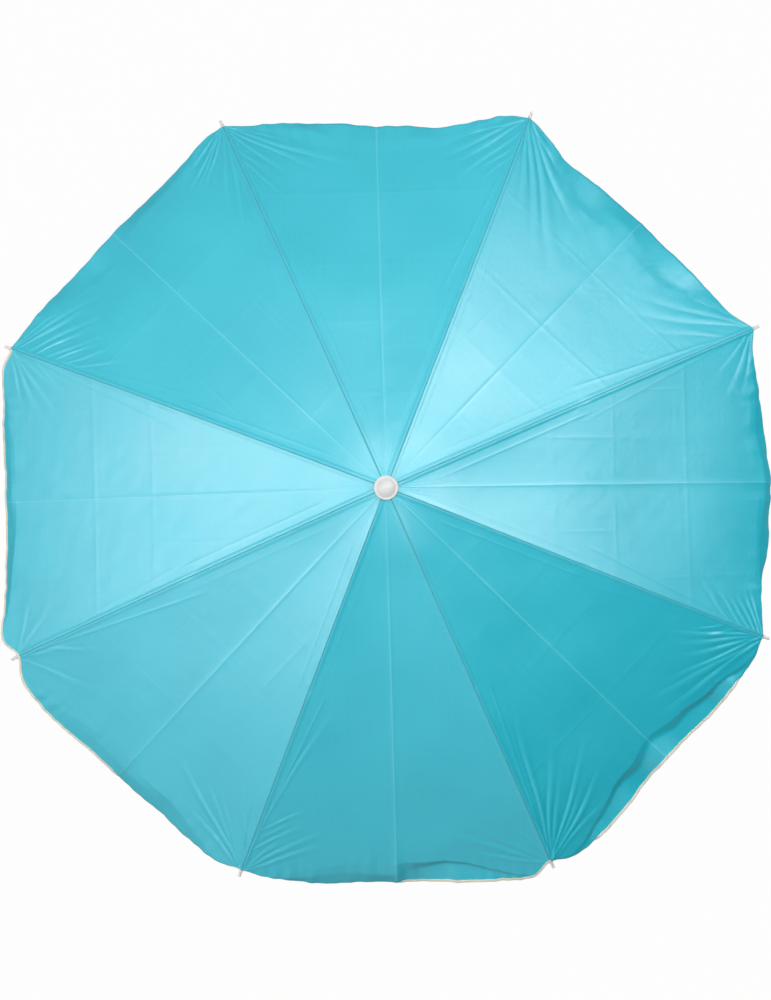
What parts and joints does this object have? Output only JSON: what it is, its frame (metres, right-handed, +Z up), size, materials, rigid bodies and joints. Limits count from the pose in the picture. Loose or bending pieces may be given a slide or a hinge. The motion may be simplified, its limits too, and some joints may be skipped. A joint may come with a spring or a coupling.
{
  "type": "beach umbrella",
  "caption": "Round-topped beach umbrella with a ribbed folding canopy, push-button tilt and telescoping pointed pole.",
  "frame": {"origin": "tip of the ground spike, on the pole's axis", "axes": "+Z up along the pole; the canopy tilts towards +Y; the clamp knob points along +X; rib 1 lies 22.5 degrees from +X towards +Y"},
  "size_m": [1.5726, 1.5726, 1.9414],
  "materials": {
    "canopy_cloth": "woven polyester, satin sheen",
    "white_plastic": "moulded, semi-gloss",
    "grey_plastic": "moulded, matte",
    "pole_paint": "white powder coat on steel tube",
    "rib_wire": "white coated steel wire",
    "steel": "zinc plated",
    "spike_steel": "grey coated steel point"
  },
  "bodies": {
    "pole_base": {"ground_spike": "spike_steel", "lower_pole": "pole_paint", "clamp_collar": "white_plastic"},
    "knob": {"clamp_knob": "white_plastic"},
    "mast": {"mast_tube": "pole_paint", "mast_bush": "grey_plastic", "tilt_fork": "white_plastic", "tilt_pin": "steel"},
    "button": {"tilt_button": "grey_plastic"},
    "top": {"tilt_head": "white_plastic", "upper_pole": "pole_paint", "crown_hub": "white_plastic", "crown_wire": "steel", "crown_cap": "white_plastic"},
    "catch": {"runner_catch": "steel"},
    "rib_1": {"rib_1": "rib_wire", "rib_bracket_1": "steel", "rib_tip_1": "white_plastic", "canopy_1": "canopy_cloth"},
    "rib_2": {"rib_2": "rib_wire", "rib_bracket_2": "steel", "rib_tip_2": "white_plastic", "canopy_2": "canopy_cloth"},
    "rib_3": {"rib_3": "rib_wire", "rib_bracket_3": "steel", "rib_tip_3": "white_plastic", "canopy_3": "canopy_cloth"},
    "rib_4": {"rib_4": "rib_wire", "rib_bracket_4": "steel", "rib_tip_4": "white_plastic", "canopy_4": "canopy_cloth"},
    "rib_5": {"rib_5": "rib_wire", "rib_bracket_5": "steel", "rib_tip_5": "white_plastic", "canopy_5": "canopy_cloth"},
    "rib_6": {"rib_6": "rib_wire", "rib_bracket_6": "steel", "rib_tip_6": "white_plastic", "canopy_6": "canopy_cloth"},
    "rib_7": {"rib_7": "rib_wire", "rib_bracket_7": "steel", "rib_tip_7": "white_plastic", "canopy_7": "canopy_cloth"},
    "rib_8": {"rib_8": "rib_wire", "rib_bracket_8": "steel", "rib_tip_8": "white_plastic", "canopy_8": "canopy_cloth"},
    "stretcher_1": {"stretcher_1": "rib_wire"},
    "stretcher_2": {"stretcher_2": "rib_wire"},
    "stretcher_3": {"stretcher_3": "rib_wire"},
    "stretcher_4": {"stretcher_4": "rib_wire"},
    "stretcher_5": {"stretcher_5": "rib_wire"},
    "stretcher_6": {"stretcher_6": "rib_wire"},
    "stretcher_7": {"stretcher_7": "rib_wire"},
    "stretcher_8": {"stretcher_8": "rib_wire"},
    "runner": {"runner": "white_plastic", "runner_wire": "steel"}
  },
  "joints": [
    {"name": "clamp_turn", "type": "hinge", "parent": "pole_base", "child": "knob", "pos_m": [0.026, 0, 0.833], "axis": [1, 0, 0], "range_deg": [0, 360]},
    {"name": "height_slide", "type": "slide", "parent": "pole_base", "child": "mast", "axis": [0, 0, 1], "range_m": [-0.06, 0.24]},
    {"name": "button_press", "type": "slide", "parent": "mast", "child": "button", "axis": [0, 1, 0], "range_m": [0, 0.0035], "stiffness_N_per_m": 600},
    {"name": "tilt", "type": "hinge", "parent": "mast", "child": "top", "pos_m": [0, 0, 0.985], "axis": [-1, 0, 0], "range_deg": [0, 40]},
    {"name": "catch_press", "type": "slide", "parent": "top", "child": "catch", "axis": [-1, 0, 0], "range_m": [0, 0.004], "stiffness_N_per_m": 500, "deforming": ["runner_catch"]},
    {"name": "fold", "type": "hinge", "parent": "top", "child": "rib_1", "pos_m": [0.01848, 0.00765, 1.925], "axis": [-0.3827, 0.9239, 0], "range_deg": [0, 68], "deforming": ["canopy_1"]},
    {"name": "rib_2_fold", "type": "hinge", "parent": "top", "child": "rib_2", "pos_m": [0.00765, 0.01848, 1.925], "axis": [-0.9239, 0.3827, 0], "range_deg": [0, 68], "deforming": ["canopy_2"]},
    {"name": "rib_3_fold", "type": "hinge", "parent": "top", "child": "rib_3", "pos_m": [-0.00765, 0.01848, 1.925], "axis": [-0.9239, -0.3827, 0], "range_deg": [0, 68], "deforming": ["canopy_3"]},
    {"name": "rib_4_fold", "type": "hinge", "parent": "top", "child": "rib_4", "pos_m": [-0.01848, 0.00765, 1.925], "axis": [-0.3827, -0.9239, 0], "range_deg": [0, 68], "deforming": ["canopy_4"]},
    {"name": "rib_5_fold", "type": "hinge", "parent": "top", "child": "rib_5", "pos_m": [-0.01848, -0.00765, 1.925], "axis": [0.3827, -0.9239, 0], "range_deg": [0, 68], "deforming": ["canopy_5"]},
    {"name": "rib_6_fold", "type": "hinge", "parent": "top", "child": "rib_6", "pos_m": [-0.00765, -0.01848, 1.925], "axis": [0.9239, -0.3827, 0], "range_deg": [0, 68], "deforming": ["canopy_6"]},
    {"name": "rib_7_fold", "type": "hinge", "parent": "top", "child": "rib_7", "pos_m": [0.00765, -0.01848, 1.925], "axis": [0.9239, 0.3827, 0], "range_deg": [0, 68], "deforming": ["canopy_7"]},
    {"name": "rib_8_fold", "type": "hinge", "parent": "top", "child": "rib_8", "pos_m": [0.01848, -0.00765, 1.925], "axis": [0.3827, 0.9239, 0], "range_deg": [0, 68], "deforming": ["canopy_8"]},
    {"name": "stretcher_1_fold", "type": "hinge", "parent": "rib_1", "child": "stretcher_1", "pos_m": [0.38773, 0.1606, 1.79816], "axis": [-0.3827, 0.9239, 0], "range_deg": [-136, 0]},
    {"name": "stretcher_2_fold", "type": "hinge", "parent": "rib_2", "child": "stretcher_2", "pos_m": [0.1606, 0.38773, 1.79816], "axis": [-0.9239, 0.3827, 0], "range_deg": [-136, 0]},
    {"name": "stretcher_3_fold", "type": "hinge", "parent": "rib_3", "child": "stretcher_3", "pos_m": [-0.1606, 0.38773, 1.79816], "axis": [-0.9239, -0.3827, 0], "range_deg": [-136, 0]},
    {"name": "stretcher_4_fold", "type": "hinge", "parent": "rib_4", "child": "stretcher_4", "pos_m": [-0.38773, 0.1606, 1.79816], "axis": [-0.3827, -0.9239, 0], "range_deg": [-136, 0]},
    {"name": "stretcher_5_fold", "type": "hinge", "parent": "rib_5", "child": "stretcher_5", "pos_m": [-0.38773, -0.1606, 1.79816], "axis": [0.3827, -0.9239, 0], "range_deg": [-136, 0]},
    {"name": "stretcher_6_fold", "type": "hinge", "parent": "rib_6", "child": "stretcher_6", "pos_m": [-0.1606, -0.38773, 1.79816], "axis": [0.9239, -0.3827, 0], "range_deg": [-136, 0]},
    {"name": "stretcher_7_fold", "type": "hinge", "parent": "rib_7", "child": "stretcher_7", "pos_m": [0.1606, -0.38773, 1.79816], "axis": [0.9239, 0.3827, 0], "range_deg": [-136, 0]},
    {"name": "stretcher_8_fold", "type": "hinge", "parent": "rib_8", "child": "stretcher_8", "pos_m": [0.38773, -0.1606, 1.79816], "axis": [0.3827, 0.9239, 0], "range_deg": [-136, 0]},
    {"name": "runner_travel", "type": "hinge", "parent": "stretcher_1", "child": "runner", "pos_m": [0.01848, 0.00765, 1.67132], "axis": [-0.3827, 0.9239, 0], "range_deg": [0, 68]}
  ],
  "couplings": [
    {"joint": "stretcher_1_fold", "follows": "fold", "ratio": -2},
    {"joint": "rib_2_fold", "follows": "fold", "ratio": 1},
    {"joint": "stretcher_2_fold", "follows": "fold", "ratio": -2},
    {"joint": "rib_3_fold", "follows": "fold", "ratio": 1},
    {"joint": "stretcher_3_fold", "follows": "fold", "ratio": -2},
    {"joint": "rib_4_fold", "follows": "fold", "ratio": 1},
    {"joint": "stretcher_4_fold", "follows": "fold", "ratio": -2},
    {"joint": "rib_5_fold", "follows": "fold", "ratio": 1},
    {"joint": "stretcher_5_fold", "follows": "fold", "ratio": -2},
    {"joint": "rib_6_fold", "follows": "fold", "ratio": 1},
    {"joint": "stretcher_6_fold", "follows": "fold", "ratio": -2},
    {"joint": "rib_7_fold", "follows": "fold", "ratio": 1},
    {"joint": "stretcher_7_fold", "follows": "fold", "ratio": -2},
    {"joint": "rib_8_fold", "follows": "fold", "ratio": 1},
    {"joint": "stretcher_8_fold", "follows": "fold", "ratio": -2},
    {"joint": "runner_travel", "follows": "fold", "ratio": 1}
  ]
}
